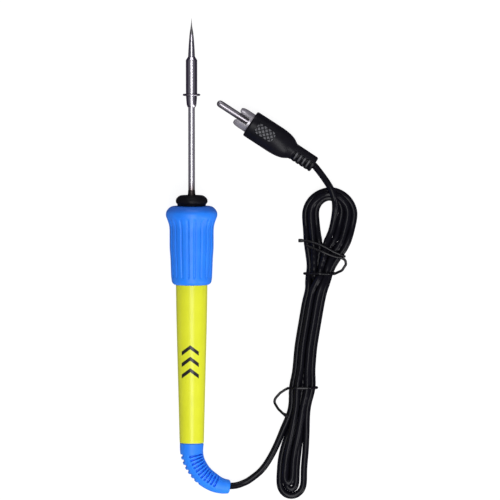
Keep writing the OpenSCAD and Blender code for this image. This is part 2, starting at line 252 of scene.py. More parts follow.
# shader expressions
class Value:
    # a socket that takes + - * / with numbers and other sockets; each adds a Math node
    def __init__(self, recipe, socket):
        self.recipe, self.socket = recipe, socket

    def math(self, operation, *others):
        return self.recipe.node("ShaderNodeMath", {"operation": operation}, [self, *others])

    def __add__(self, other):
        return self.math("ADD", other)

    def __sub__(self, other):
        return self.math("SUBTRACT", other)

    def __mul__(self, other):
        return self.math("MULTIPLY", other)

    def __truediv__(self, other):
        return self.math("DIVIDE", other)

    def __rsub__(self, other):
        return self.recipe.node("ShaderNodeMath", {"operation": "SUBTRACT"}, [other, self])

    __radd__ = __add__
    __rmul__ = __mul__

    def ramp(self, low, high):
        # (value - low) / (high - low), kept between 0 and 1
        return self.recipe.node("ShaderNodeMapRange", {}, [self, low, high, 0.0, 1.0])


class Recipe:
    # a material with one Principled shader; fixed numbers are set on its own sockets
    def __init__(self, name, **fixed):
        self.material = bpy.data.materials.new(name)
        self.material.use_nodes = True
        self.tree = self.material.node_tree
        self.shader = self.tree.nodes["Principled BSDF"]
        for socket, amount in fixed.items():
            self.shader.inputs[socket.replace("_", " ")].default_value = amount

    def put(self, socket, item):
        # a link from a Value, or else a fixed colour, vector or number
        if isinstance(item, Value):
            self.tree.links.new(item.socket, socket)
        elif hasattr(item, "__len__") and len(item) == 3 and socket.type == "RGBA":
            socket.default_value = (*item, 1.0)
        else:
            socket.default_value = item

    def node(self, kind, settings, inputs, output=0):
        # settings are set first; inputs is a list by position or a dictionary by name
        made = self.tree.nodes.new(kind)
        for name, setting in settings.items():
            setattr(made, name, setting)
        pairs = inputs.items() if isinstance(inputs, dict) else enumerate(inputs)
        for key, item in pairs:
            self.put(made.inputs[key], item)
        return Value(self, made.outputs[output])

    def place(self, stretch=(1, 1, 1)):
        # object coordinates in mm, stretched
        at = self.node("ShaderNodeTexCoord", {}, [], "Object")
        scale = tuple(s / mm for s in stretch)
        return self.node("ShaderNodeMapping", {}, {"Vector": at, "Scale": scale})

    def axis(self, k):
        # one coordinate in mm: 0 across, 1 along the iron, 2 up
        return self.node("ShaderNodeSeparateXYZ", {}, [self.place()], k)

    def noise(self, scale, detail=3.0, stretch=(1, 1, 1)):
        # noise from 0 to 1; scale is cycles for each mm
        return self.node("ShaderNodeTexNoise", {}, {"Vector": self.place(stretch), "Scale": scale,
                                                    "Detail": detail, "Roughness": 0.55})

    def vector(self, operation, first, second, output=0):
        return self.node("ShaderNodeVectorMath", {"operation": operation}, [first, second], output)

    def blend(self, share, low, high):
        # low * (1 - share) + high * share, on colours
        mixer = self.tree.nodes.new("ShaderNodeMix")
        mixer.data_type = "RGBA"
        self.put(mixer.inputs["Factor"], share)
        self.put(mixer.inputs[6], low)
        self.put(mixer.inputs[7], high)
        return Value(self, mixer.outputs[2])

    def bump(self, height, distance, strength=1.0):
        # tilts the normal as a height of so many mm would
        inputs = {"Height": height, "Distance": distance * mm, "Strength": strength}
        self.put(self.shader.inputs["Normal"], self.node("ShaderNodeBump", {}, inputs))

    def fed(self, name):
        # what already feeds one of the shader's sockets
        return Value(self, self.shader.inputs[name].links[0].from_socket)

    def color(self, item):
        self.put(self.shader.inputs["Base Color"], item)

    def rough(self, item):
        self.put(self.shader.inputs["Roughness"], item)


# where the plug lies and how big its body is, in mm; u is measured from its front face
plugPlace = {"front": (26.6, 48.9, 6.7), "turn": 147}
plugBody = {"radius": 6.4, "padAt": -8.1, "padLong": 4.7, "padWide": 2.7, "padPitch": 1.6, "padHeight": 0.3,
            "slots": 5, "firstSlot": -33.0, "slotPitch": 2.15, "slotWidth": 0.75, "slotDepth": 0.9}
plugTurn = math.radians(plugPlace["turn"])
plugAhead = np.array([math.cos(plugTurn), math.sin(plugTurn), 0])
plugStart = np.array(plugPlace["front"])


def plugAt(u):
    # front + u * direction of the pin
    return plugStart + u * plugAhead


# materials
def mouldedPlastic(name, base, dark, rough, coat=0.0, grain=2.2, depth=0.012, gloss=0.3):
    # plastic with a faint cloudy colour, fine moulding grain and patchy gloss
    recipe = Recipe(name, Coat_Weight=coat, Coat_Roughness=0.18, Specular_IOR_Level=gloss)
    cloud = recipe.noise(0.12, 4.0)
    fine = recipe.noise(grain, 2.0)
    recipe.color(recipe.blend(cloud.ramp(0.3, 0.7) * 0.55 + fine * 0.15, base, dark))
    recipe.rough(rough + (cloud - 0.5) * 0.10 + (fine - 0.5) * 0.08)
    recipe.bump(fine + cloud * 2.0, depth)
    return recipe


def turnedMetal(name, base, dark, rough, ring=3.0, depth=0.002, metal=1.0):
    # metal with fine turning rings along the piece and faint stains
    recipe = Recipe(name, Metallic=metal)
    stain = recipe.noise(0.16, 5.0)
    rings = recipe.noise(ring, 1.0, (0.04, 1, 0.04))
    recipe.color(recipe.blend(stain.ramp(0.35, 0.75) * 0.6 + rings * 0.25, base, dark))
    recipe.rough(rough + (stain - 0.5) * 0.10 + (rings - 0.5) * 0.05)
    recipe.bump(rings, depth, 0.5)
    return recipe


def handlePlastic():
    # yellow body with a plain printed mark: bars at a steady pitch, bent into arrowheads by |x|
    mark = {"x": -0.6, "y": -58.0, "half": 3.9, "pitch": 5.2, "bar": 0.36, "lean": 0.75, "above": 8.0}
    recipe = mouldedPlastic("handlePlastic", (0.70, 0.73, 0.030), (0.64, 0.67, 0.020), 0.30,
                            coat=0.1, grain=1.6, depth=0.006)
    across = (recipe.axis(0) - mark["x"]).math("ABSOLUTE")
    turn = (recipe.axis(1) - mark["y"] + across * mark["lean"]) / mark["pitch"]
    fromBar = ((turn + 10.5).math("FRACT") - 0.5).math("ABSOLUTE")
    bar = 1.0 - fromBar.ramp(mark["bar"] / 2 - 0.02, mark["bar"] / 2 + 0.02)
    inside = 1.0 - across.ramp(mark["half"] - 0.1, mark["half"] + 0.1)
    three = turn.math("ABSOLUTE").math("LESS_THAN", 1.5)
    ink = bar * inside * three * recipe.axis(2).math("GREATER_THAN", mark["above"])
    recipe.color(recipe.blend(ink, recipe.fed("Base Color"), (0.012, 0.012, 0.014)))
    return recipe


def gripPlastic():
    # blue sleeve, darker on the front of its flange through painted shade
    recipe = mouldedPlastic("gripPlastic", (0.017, 0.215, 0.90), (0.012, 0.160, 0.78), 0.42,
                            grain=1.4, depth=0.010)
    # painted shade: the front of the flange, which faces away from the light, is darkened in the base colour
    front = recipe.axis(1).ramp(7.8, 9.2) * 0.6
    recipe.color(recipe.blend(front, recipe.fed("Base Color"), (0.012, 0.095, 0.50)))
    return recipe


def cordPlastic():
    # black flexible jacket: faint clouds, a bluish cast and soft gloss
    recipe = Recipe("cordPlastic", Specular_IOR_Level=0.12)
    cloud = recipe.noise(0.25, 4.0)
    fine = recipe.noise(3.0, 2.0)
    recipe.color(recipe.blend(cloud, (0.0025, 0.0025, 0.004), (0.006, 0.0055, 0.009)))
    recipe.rough(0.23 + (cloud - 0.5) * 0.14 + (fine - 0.5) * 0.05)
    recipe.bump(fine + cloud, 0.01)
    return recipe


def plugPlastic():
    # black moulding, greyer on the raised diamonds, found by their distance from the
    # plug's axis, with a painted highlight along the middle of each ridge between the slots on the side that
    # faces the light
    b = plugBody
    highlightSpan = {"back": (-33.6, -33.4), "front": (-24.2, -24.0), "near": (-0.8, 0.4), "far": (2.2, 3.2)}
    recipe = mouldedPlastic("plugPlastic", (0.004, 0.004, 0.006), (0.009, 0.008, 0.012), 0.34,
                            grain=1.8, gloss=0.14)
    offset = recipe.vector("SUBTRACT", recipe.place(), tuple(plugStart))
    turned = recipe.vector("CROSS_PRODUCT", offset, tuple(plugAhead))
    away = recipe.vector("LENGTH", turned, (0, 0, 0), "Value")
    along = recipe.vector("DOT_PRODUCT", offset, tuple(plugAhead), "Value")
    aside = recipe.vector("DOT_PRODUCT", offset, (-plugAhead[1], plugAhead[0], 0.0), "Value")
    diamond = away.ramp(b["radius"] + 0.08, b["radius"] + 0.20)
    # painted highlight: a lighter stripe down the middle of each ridge, only on the side that faces the
    # light
    ridge = (((along - b["firstSlot"]) / b["slotPitch"] + 10).math("FRACT") - 0.5).math("ABSOLUTE")
    ridge = (1.0 - ridge.ramp(0.10, 0.20)) * along.ramp(*highlightSpan["back"]) * (1.0 - along.ramp(*highlightSpan["front"]))
    ridge = ridge * aside.ramp(*highlightSpan["near"]) * (1.0 - aside.ramp(*highlightSpan["far"]))
    recipe.color(recipe.blend(diamond + ridge * 0.8, recipe.fed("Base Color"), (0.10, 0.10, 0.108)))
    return recipe


def bitPlate():
    # bright plated bit whose last few millimetres are tinned and dull
    recipe = turnedMetal("bitPlate", (0.52, 0.50, 0.55), (0.42, 0.39, 0.44), 0.20, ring=0.8, depth=0.0001)
    tinned = (recipe.axis(1) + recipe.noise(0.9) * 1.5).ramp(89.6, 90.6)
    recipe.color(recipe.blend(tinned, recipe.fed("Base Color"), (0.20, 0.19, 0.20)))
    recipe.rough(recipe.fed("Roughness") + tinned * 0.15)
    return recipe


def shaftSteel():
    # polished tube, darkened by heat close to the collar
    recipe = turnedMetal("shaftSteel", (0.60, 0.58, 0.63), (0.50, 0.48, 0.53), 0.28,
                         ring=0.5, depth=0.00005, metal=0.9)
    heat = 1.0 - (recipe.axis(1) + recipe.noise(0.5) * 1.4).ramp(19.2, 23.5)
    recipe.color(recipe.blend(heat * 0.8, recipe.fed("Base Color"), (0.16, 0.12, 0.11)))
    return recipe


finishes = {
    "handle": handlePlastic(),
    "grip": gripPlastic(),
    "boot": mouldedPlastic("bootPlastic", (0.022, 0.235, 0.92), (0.012, 0.165, 0.82), 0.46,
                           grain=1.8, depth=0.014),
    "collar": mouldedPlastic("collarPlastic", (0.004, 0.004, 0.006), (0.009, 0.008, 0.010), 0.42,
                             grain=1.2, depth=0.03, gloss=0.10),
    "cord": cordPlastic(),
    "tie": mouldedPlastic("tiePlastic", (0.003, 0.003, 0.004), (0.007, 0.006, 0.009), 0.22,
                          grain=2.0, depth=0.01, gloss=0.25),
    "plug": plugPlastic(),
    "white": mouldedPlastic("plugWhite", (0.72, 0.72, 0.72), (0.60, 0.59, 0.58), 0.38,
                            grain=1.5, depth=0.008),
    "nickel": turnedMetal("plugNickel", (0.50, 0.48, 0.52), (0.38, 0.36, 0.39), 0.36,
                          ring=2.2, depth=0.003, metal=0.65),
    "pin": turnedMetal("pinNickel", (0.36, 0.34, 0.37), (0.27, 0.25, 0.28), 0.30,
                       ring=1.2, depth=0.0005, metal=0.9),
    "bit": bitPlate(),
    "shaft": shaftSteel(),
    "clip": turnedMetal("clipSteel", (0.52, 0.49, 0.54), (0.36, 0.34, 0.38), 0.20, ring=2.0),
    "ferrule": turnedMetal("heatedSteel", (0.06, 0.05, 0.05), (0.03, 0.026, 0.026), 0.42,
                           ring=1.5, depth=0.01),
}
print("materials:", len(finishes))

# cord: tail, three turns of hank, and the lead to the plug, in mm
cordSize = {"radius": 1.5, "gap": 1.3}
tieSize = {"radius": 0.6, "slack": 0.05, "lowerAt": -71.2, "ringAt": -19.6, "lift": 1.27}
tieReach = cordSize["radius"] + tieSize["radius"] + tieSize["slack"]
settling = {"rounds": 120, "push": 0.34, "stiff": 0.4, "pull": 0.03, "apart": 2.6, "heldStart": 16,
            "heldEnd": 11}
tailRoute = [(16.9, -116.2, 3.2), (20, -116, 2.5), (23, -115.1, 1.8), (26.5, -113.3, 1.6),
             (32, -108.7, 1.5), (36.5, -101.9, 1.5), (40.4, -93.6, 1.5), (43.4, -86.5, 3.0)]
leadRoute = [(60.1, -14, 3.6), (62.5, -5, 3.2), (64.3, 3, 3.2), (65.3, 9.5, 4.6), (64.9, 14.5, 7.6),
             (63.6, 18.4, 9.0), (61.4, 22.2, 8.6), (59.0, 25.6, 7.6)]
# middle of the bundle, from the bottom fold to the neck
bundle = np.array([(45.3, -114.4), (46, -104.6), (47.4, -93.7), (48.5, -83.7), (50.3, -71), (52, -52),
                   (55.5, -31.5), (57.8, -22.4)])
# where each run lies in the tied bundle: sideways from its middle and up from the table
runs = [(-3.7, 3.6), (3.7, 3.6), (-1.6, 1.5), (1.6, 1.5), (0.5, 4.1), (1.5, 6.7), (-1.5, 6.7)]
# where the same runs lie at the bottom, beside each other on the table with one turn on top
feet = [(-3.7, 4.6), (5.4, 1.5), (-5.4, 1.5), (2.05, 1.5), (-2.3, 1.5), (0.3, 4.3), (-3.1, 4.3)]
# bottom folds: middle, radius and height
folds = [(45.5, -115.1, 5.4, 1.5), (45.2, -116.2, 2.18, 1.5), (44.0, -113.4, 1.8, 4.3)]
# top loop: middle and outer radius; then for each arch how far in it lies at the left, top and right,
# and its heights there; then the outer edge of the loop's two legs
loopTop = (62.9, 7.0, 12.7)
arches = [(1.5, 1.5, 1.6, 1.5, 4.4, 1.6), (6.4, 4.2, 7.6, 1.5, 1.6, 1.5), (4.0, 2.7, 4.6, 3.7, 6.9, 3.2)]
loopLeft = np.array([(52.4, -14.0), (51.2, -5.0), (50.2, 5.0)])
loopRight = np.array([(66.2, -14.0), (72.6, -5.0), (75.6, 5.0)])


def runPoints(run, upwards):
    # one pass along the bundle: foot * (1 - share) + tied * share, where share grows from fold to tie
    y = np.linspace(-110, -25, 16)
    share = step(-105, -80, y)[:, None]
    place = np.array(feet[run]) * (1 - share) + np.array(runs[run]) * share
    middle = np.interp(y, bundle[:, 1], bundle[:, 0])
    line = np.stack([middle + place[:, 0], y, place[:, 1]], axis=1)
    return line if upwards else line[::-1]


def foldPoints(fold):
    # half a circle, from the right round the bottom to the left
    x, y, radius, height = fold
    angle = np.radians(np.linspace(0, -180, 9))
    return np.stack([x + radius * np.cos(angle), y + radius * np.sin(angle), np.full(9, height)], axis=1)


def archPoints(arch):
    # up the left leg, over the top on an arc, down the right leg; depth is measured in from the outer edge
    left, top, right, lowLeft, high, lowRight = arch
    y = np.array([-13.0, -4.0])
    leftX = np.interp(y, loopLeft[:, 1], loopLeft[:, 0]) + left
    rightX = np.interp(y, loopRight[:, 1], loopRight[:, 0]) - right
    rise = np.stack([leftX, y, np.full(2, lowLeft)], axis=1)
    fall = np.stack([rightX, y, np.full(2, lowRight)], axis=1)
    angle = np.linspace(180, 0, 13)
    depth = np.interp(angle, [0, 90, 180], [right, top, left])
    height = np.interp(angle, [0, 40, 90, 140, 180], [lowRight, lowRight, high, lowLeft, lowLeft])
    radius = loopTop[2] - depth
    over = np.stack([loopTop[0] + radius * np.cos(np.radians(angle)),
                     loopTop[1] + radius * np.sin(np.radians(angle)), height], axis=1)
    return np.vstack([rise, over, fall[::-1]])


def hankRoute():
    # three turns: up the left, over, down the right, round the bottom; then up and over to the plug
    first = runPoints(0, True)
    parts = [np.array(tailRoute), first[first[:, 1] > -82]]
    for turn, arch in enumerate(arches):
        parts.append(archPoints(arch))
        parts.append(runPoints(2 * turn + 1, False))
        parts.append(foldPoints(folds[turn]))
        parts.append(runPoints(2 * turn + 2, True))
    parts.append(np.array(leadRoute))
    parts.append(np.array([plugAt(-34.0), plugAt(-30.0), plugAt(-22.0)]))
    return np.vstack(parts)


def tieLift(points):
    # the ties pass under the cord, so it is lifted where they are
    y = points[:, 1]
    below = np.exp(-((y - tieSize["lowerAt"]) / 5.0) ** 2)
    neck = window(y, -27, -20, -5, 3) * step(48, 51, points[:, 0])
    return tieSize["lift"] * np.maximum(below, neck)


def settle(points):
    # each round adds push * overlap away from other strands, stiff * unbending and pull * way back
    # to the guide, and then keeps the cord off the table
    s = settling
    guide = points.copy()
    size = 2 * cordSize["radius"]
    order = np.arange(len(points))
    far = np.abs(order[:, None] - order[None, :]) > s["apart"] * size / cordSize["gap"]
    free = np.ones(len(points))
    free[:s["heldStart"]] = 0
    free[-s["heldEnd"]:] = 0
    for turn in range(s["rounds"]):
        between = points[:, None, :] - points[None, :, :]
        apart = np.linalg.norm(between, axis=2)
        close = far & (apart < size)
        push = np.where(close, (size - apart) / np.maximum(apart, 0.05), 0.0)
        shift = s["push"] * (between * push[:, :, None]).sum(axis=1)
        bend = np.zeros_like(points)
        bend[1:-1] = 0.5 * (points[:-2] + points[2:]) - points[1:-1]
        stiff = bend.copy()
        stiff[1:-1] -= 0.5 * (bend[:-2] + bend[2:])
        points = points + free[:, None] * (shift + s["stiff"] * stiff + s["pull"] * (guide - points))
        floor = cordSize["radius"] + tieLift(points)
        points[:, 2] = np.maximum(points[:, 2], np.where(free > 0, floor, points[:, 2]))
    return points


cordLine = settle(evenly(smoothLine(hankRoute(), 8), cordSize["gap"]))
cordFine = evenly(smoothLine(cordLine, 4), 0.7)
print("cord: %.3f m" % (lengthAlong(cordFine)[-1] * mm))


def cordPiece():
    # a round bevel along the settled line
    curve = bpy.data.curves.new("cord", "CURVE")
    curve.dimensions = "3D"
    curve.bevel_depth = cordSize["radius"] * mm
    curve.bevel_resolution = 6
    curve.use_fill_caps = True
    spline = curve.splines.new("POLY")
    spline.points.add(len(cordFine) - 1)
    spline.points.foreach_set("co", np.hstack([cordFine * mm, np.ones((len(cordFine), 1))]).ravel())
    spline.use_smooth = True
    return addPiece("cord", curve, "cord", "root", "cord_plastic",
                    "cord_tail", "cord_hank", "cord_plug_lead")


cord = cordPiece()

# iron: where its axis lies, and stations along it from the handle's rear end, in mm
handleSize = {"rear": 5.5, "front": 7.15, "wall": 6.5, "tailBore": 3.9, "frontBore": 5.0}
axisJoint = next(j for j in frame["joints"] if j["name"] == "bit_turn")
ironAhead = unit(np.array(axisJoint["axis"], float))
onAxis = np.array(axisJoint["pos_m"], float) / mm
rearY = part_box("handle")[0][1] / mm + handleSize["rear"] * ironAhead[2]
ironRear = onAxis + ironAhead * (rearY - onAxis[1]) / ironAhead[1]
ironPath = straightPath(ironRear, ironAhead)
stations = {"grip": 72.0, "spigot": 96.5, "socket": 99.0, "nose": 107.8, "head": 107.9, "hub": 115.1,
            "bit": 152.7, "clip": 158.3, "shaftEnd": 173.0, "cone": 175.5, "point": 193.4}


def makeHandle():
    # tapered tube, thinner where the grip is pushed over its front end
    h, s = handleSize, stations
    outline = rounded([(40, h["tailBore"]), (0, h["tailBore"]), (0, h["rear"], 0.25), (26, 6.14, 12),
                       (56, 6.93, 12), (s["grip"], h["front"]), (s["grip"], h["wall"]),
                       (s["spigot"], h["wall"], 0.4), (s["spigot"], h["frontBore"]),
                       (40, h["frontBore"])])
    mesh = swept("handle", ironPath, outline, gap=1.5, sides=128)
    addPiece("handleShell", mesh, "handle", "root", "yellow_plastic", "handle")


gripSize = {"flutes": 20, "depth": 0.36, "share": 0.36, "start": 74.8, "end": 102.8}


def gripShape(u, angle, radius):
    # flutes: a soft-edged groove for each step round the grip, fading out at both ends
    g = gripSize
    turn = np.abs((angle * g["flutes"] / (2 * math.pi)) % 1 - 0.5) * 2
    groove = 1 - step(g["share"] * 0.35, g["share"] * 1.25, turn)
    fade = window(u, g["start"], g["start"] + 1.3, g["end"] - 1.8, g["end"])
    outside = step(8.8, 9.0, radius)
    return radius - g["depth"] * groove * fade * outside


def makeGrip():
    # sleeve that swells to a flange, bored for the handle behind and the collar in front
    s = stations
    outline = rounded([(72.1, 6.5), (72.1, 7.9, 0.4), (73.0, 8.95, 0.9), (75.4, 9.3, 1.2),
                       (78, 9.4, 1), (85, 9.65, 3), (88.5, 10.0, 2), (98.6, 10.0, 2.5),
                       (101.6, 11.0, 1.4), (103.2, 11.7, 0.9), (105.0, 11.7, 0.8), (106.6, 10.7, 0.9),
                       (107.6, 9.4, 0.6), (s["nose"], 8.4, 0.3), (s["nose"], 4.5, 0.2),
                       (s["socket"], 4.5), (s["socket"], 2.2), (s["spigot"], 2.2), (s["spigot"], 6.5)])
    mesh = swept("grip", ironPath, outline, gap=0.32, sides=320, shape=gripShape, sharp=50)
    addPiece("gripSleeve", mesh, "grip", "root", "blue_grip", "front_grip")


makeHandle()
makeGrip()
print("handle and grip made")


def collarShape(u, angle, radius):
    # slight unevenness of a cast, heat-worn moulding
    wave = 0.05 * np.sin(5 * angle + 1.3) + 0.04 * np.sin(11 * angle + u)
    return radius + wave * step(4.6, 5.4, radius) * step(108.2, 109.5, u)


def makeNose():
    # black collar, the heated ferrule inside it, and the shaft that the ferrule holds
    s = stations
    outline = rounded([(102.4, 1.9), (102.4, 4.45), (s["head"], 4.45), (s["head"], 6.4, 0.2),
                       (108.9, 6.6, 0.25), (109.2, 7.1, 0.3), (110.3, 7.25, 0.5), (111.2, 7.0, 0.4),
                       (112.3, 5.9, 0.5), (112.75, 5.0, 0.5), (112.55, 2.6, 0.4), (112.8, 1.93, 0.1)])
    mesh = swept("collar", ironPath, outline, gap=0.35, sides=128, shape=collarShape)
    addPiece("noseCollar", mesh, "collar", "collar", "collar_black", "nose_collar")
    outline = rounded([(100, 1.5), (100, 4.2), (101.5, 4.2), (101.5, 1.85, 0.2), (112.6, 1.85, 0.4),
                       (113.6, 1.66, 0.5), (s["hub"], 1.56, 0.1), (s["hub"], 1.5)])
    mesh = swept("ferrule", ironPath, outline, gap=0.8, sides=64)
    addPiece("shaftFerrule", mesh, "ferrule", "root", "heated_steel", "shaft_ferrule")
    bore = [(172.2, 0), (172.2, 1.2)]
    outline = rounded([(96, 1.2), (96, 1.5), (172.6, 1.5, 0.3), (s["shaftEnd"], 1.1, 0.2),
                       (s["shaftEnd"], 0)])
    outline = np.vstack([bore, outline])
    mesh = swept("shaft", ironPath, outline, gap=2.0, sides=64)
    addPiece("heaterShaft", mesh, "shaft", "root", "shaft_steel", "heater_shaft")


makeNose()
print("nose made")

# flat ground on the point: how far its plane lies from the axis at each station
pointFlat = {"start": 185.5, "at": (186.0, 189.4, 193.4), "away": (0.86, 0.28, 0.05), "reach": 0.15}


def bitShape(u, angle, radius):
    # on the +X side of the point the radius is cut back to the plane's distance / cos
    plane = np.interp(u, pointFlat["at"], pointFlat["away"])
    toward = np.sin(angle)
    flat = np.where(toward > pointFlat["reach"], plane / np.maximum(toward, pointFlat["reach"]), 9.0)
    return np.where((u > pointFlat["start"]) & (radius > 0.01), np.minimum(radius, flat), radius)


def makeBit():
    # flared skirt, groove for the clip, straight sleeve, chamfer and long point
    s = stations
    outer = rounded([(s["bit"], 1.54), (s["bit"], 1.78, 0.1), (s["bit"] + 0.9, 2.16, 0.3), (155, 2.34, 1),
                     (157.75, 2.5, 0.1), (157.8, 2.35), (158.8, 2.35), (158.85, 2.57, 0.1),
                     (174.0, 2.57, 0.15), (175.3, 1.76, 0.15), (s["cone"], 1.56, 0.2), (179, 1.4, 2),
                     (183, 1.12, 2), (186, 0.88, 1), (188.5, 0.46, 1), (190.4, 0.2, 1), (s["point"], 0)])
    inner = np.array([(173.1, 0), (173.1, 1.54)])
    mesh = swept("bit", ironPath, np.vstack([inner, outer]), gap=0.5, sides=96, shape=bitShape)
    addPiece("solderingBit", mesh, "bit", "bit", "bit_plate", "bit")


def makeClip():
    # spring ring with a gap underneath: a rounded section swept most of the way round
    ring = {"inner": 2.4, "outer": 4.0, "thick": 0.95, "gap": 14, "sides": 24}
    turn = np.linspace(0, 2 * math.pi, ring["sides"], endpoint=False)
    section = np.stack([np.cos(turn), np.sin(turn)], axis=1)
    middle = (ring["inner"] + ring["outer"]) / 2
    wide = (ring["outer"] - ring["inner"]) / 2
    r = middle + wide * np.sign(section[:, 0]) * np.abs(section[:, 0]) ** 0.6
    u = stations["clip"] + ring["thick"] / 2 * section[:, 1]
    angle = np.radians(np.linspace(180 + ring["gap"], 540 - ring["gap"], 90))
    centre, side, top = ironPath(u)
    around = np.sin(angle)[:, None, None] * side[None] + np.cos(angle)[:, None, None] * top[None]
    points = centre[None] + r[None, :, None] * around
    caps = [end.mean(axis=1, keepdims=True).repeat(ring["sides"], axis=1)
            for end in (points[:1], points[-1:])]
    mesh = closeMesh(gridMesh("clip", np.vstack([caps[0], points, caps[1]]), loopAlong=False))
    addPiece("bitClip", mesh, "clip", "bit_carrier", "clip_steel", "bit_clip")


makeBit()
makeClip()
print("bit made")

# cord boot: its bent route, then rows of slots and teeth; reaches are degrees round it from the top
bootRoute = [tuple(ironRear), tuple(ironRear - 4.5 * ironAhead), (1.3, -105.6, 5.0), (4.8, -110.8, 4.6),
             (9.6, -114.4, 4.2), (13.4, -116.0, 3.8), (17.3, -116.5, 3.4)]
bootSize = {"slots": 11, "firstSlot": 6.0, "slotPitch": 1.68, "slotWidth": 0.72, "slotDepth": 1.4,
            "slotReach": (-88, -62, 12, 20), "teeth": 7, "firstTooth": 5.1, "toothPitch": 1.95,
            "toothWidth": 0.85, "toothDepth": 0.75, "toothReach": (48, 62, 130, 142)}


def pulse(u, first, pitch, count, width):
    # 1 inside each of count slots of a width, pitch apart, with soft edges
    place = (u - first) / pitch
    nearest = np.clip(np.round(place), 0, count - 1)
    return 1 - step(width / 2 - 0.12, width / 2 + 0.12, np.abs(place - nearest) * pitch)


def bootShape(u, angle, radius):
    # radius - depth * reach * pulse: slots from just past the top round the inner side, teeth outside
    b = bootSize
    turn = np.degrees((angle + math.pi) % (2 * math.pi) - math.pi)
    inner = window(turn, *b["slotReach"])
    outer = window(turn, *b["toothReach"]) * (1 - 0.5 * step(9, 18, u))
    cut = b["slotDepth"] * inner * pulse(u, b["firstSlot"], b["slotPitch"], b["slots"], b["slotWidth"])
    teeth = pulse(u, b["firstTooth"], b["toothPitch"], b["teeth"], b["toothWidth"])
    cut = cut + b["toothDepth"] * outer * teeth
    return radius - cut * step(2.4, 2.6, radius) * step(0, 1, u)


def makeBoot():
    # tapered tube along the route, with a plug at its start that sits in the handle
    route = smoothLine(bootRoute, 16)
    end = lengthAlong(route)[-1]
    outline = rounded([(-8, 1.6), (-8, 3.85), (0, 3.85), (0, 5.0), (0.3, 5.0), (0.35, 5.42, 0.1),
                       (4.6, 5.2, 1), (9.5, 4.9, 2), (15.8, 4.62, 2), (22, 4.2, 2), (26.0, 3.6, 1.5),
                       (end - 0.4, 3.15, 0.5), (end, 2.4, 0.3), (end, 1.95, 0.2), (end - 3, 1.6)])
    path = curvedPath(evenly(route, 0.25))
    mesh = swept("boot", path, outline, gap=0.17, sides=160, shape=bootShape, sharp=45)
    return addPiece("cordBoot", mesh, "boot", "root", "blue_boot", "cord_boot")


boot = makeBoot()
print("boot made")

# ties: the wound parts are found from the cord; these are the rest, with heights where they hang free
tieRoutes = {
    "lowerEnd": [(42.6, -72.2, 4.2), (40.1, -73.9, 3.7), (37.9, -76.4, 3.4), (37.6, -78.2, 3.4),
                 (39.3, -81.0, 4.4), (41.4, -83.0, 6.2), (43.7, -84.5, 6.9)],
    "strand": [(48.5, -4.4), (51.2, -4.5), (55, -5.2), (60, -7.1), (64, -9.2), (67.8, -10.9)],
    "strandEnd": [(69.6, -11.6, 4.6), (69.0, -11.6, 1.4)],
    "ringStart": [(51.8, -6.6), (56, -8.2), (61, -10.2), (65, -11.6), (67.8, -12.2)],
    "ringBend": [(69.8, -13.2, 6.6), (70.2, -15.2, 5.4), (68.4, -18.0, 4.6)],
}


def crossing(y):
    # where the bundle's strands pass through the plane at y, as (x, z); the tail lies left of x = 42
    line = cordFine
    sign = np.sign(line[:, 1] - y)
    hit = np.nonzero((sign[:-1] * sign[1:] < 0) & (line[:-1, 0] > 42))[0]
    t = (y - line[hit, 1]) / (line[hit + 1, 1] - line[hit, 1])
    return line[hit][:, [0, 2]] + t[:, None] * (line[hit + 1] - line[hit])[:, [0, 2]]


def band(y, start, sweep, drift=0.0):
    # a tight loop round the strands: for each direction the furthest strand, plus both radii
    strands = crossing(y)
    angle = np.radians(np.linspace(start, start + sweep, 80))
    outward = np.stack([np.cos(angle), np.sin(angle)], axis=1)
    furthest = strands[np.argmax(strands @ outward.T, axis=0)]
    loop = furthest + tieReach * outward
    return np.stack([loop[:, 0], y + np.linspace(0, drift, 80), loop[:, 1]], axis=1)


def resting(points):
    # height at which a tie lies on the cord: cord's height + sqrt(reach^2 - distance^2)
    gap = np.linalg.norm(points[:, None, :] - cordFine[None, :, :2], axis=2)
    rise = np.sqrt(np.maximum(tieReach ** 2 - gap ** 2, 0))
    over = np.where(gap < tieReach, cordFine[None, :, 2] + rise, 0)
    return np.maximum(over.max(axis=1), tieSize["radius"])


def laidOver(points, span=9):
    # a strand pulled across the cord: the highest rest within span points either way, then averaged
    line = evenly(smoothLine(points, 8), 0.5)
    height = resting(line)
    width = 2 * span + 1
    padded = np.pad(height, span, mode="edge")
    highest = np.lib.stride_tricks.sliding_window_view(padded, width).max(axis=1)
    padded = np.pad(highest, span, mode="edge")
    soft = np.convolve(padded, np.ones(width) / width, mode="valid")
    return np.column_stack([line, np.maximum(soft, height)])


def wire(name, points, head=0.0, foot=0.0):
    # a round strand whose first and last 2 mm are thicker by head and foot
    line = evenly(smoothLine(evenly(np.vstack(points), 1.0), 4), 0.25)
    r = tieSize["radius"]
    end = lengthAlong(line)[-1]
    outline = rounded([(0, 0), (0, r + head, 0.3), (1.6, r + head, 0.4), (2.4, r, 0.4), (end - 2.4, r, 0.4),
                       (end - 1.6, r + foot, 0.4), (end, r + foot, 0.3), (end, 0)])
    return swept(name, curvedPath(line, up=(0, 1, 0.2)), outline, gap=0.3, sides=14, sharp=60)


def makeTies():
    # a lower tie round the bundle; above it a loose strand, and a ring with a strand of its own
    r = tieRoutes
    lower = wire("lower", [band(tieSize["lowerAt"], -80, 290, -0.5), np.array(r["lowerEnd"])], foot=0.25)
    strand = wire("upper", [laidOver(r["strand"]), np.array(r["strandEnd"])], head=0.25)
    ring = wire("ring", [laidOver(r["ringStart"]), np.array(r["ringBend"]),
                         band(tieSize["ringAt"], 0, 350, 0.4)])
    return [addPiece("lowerTie", lower, "tie", "root", "tie_plastic", "tie_lower"),
            addPiece("upperTieStrand", strand, "tie", "root", "tie_plastic", "tie_upper"),
            addPiece("upperTieRing", ring, "tie", "root", "tie_plastic")]


ties = makeTies()
print("ties made")

plugPath = straightPath(plugStart, plugAhead)


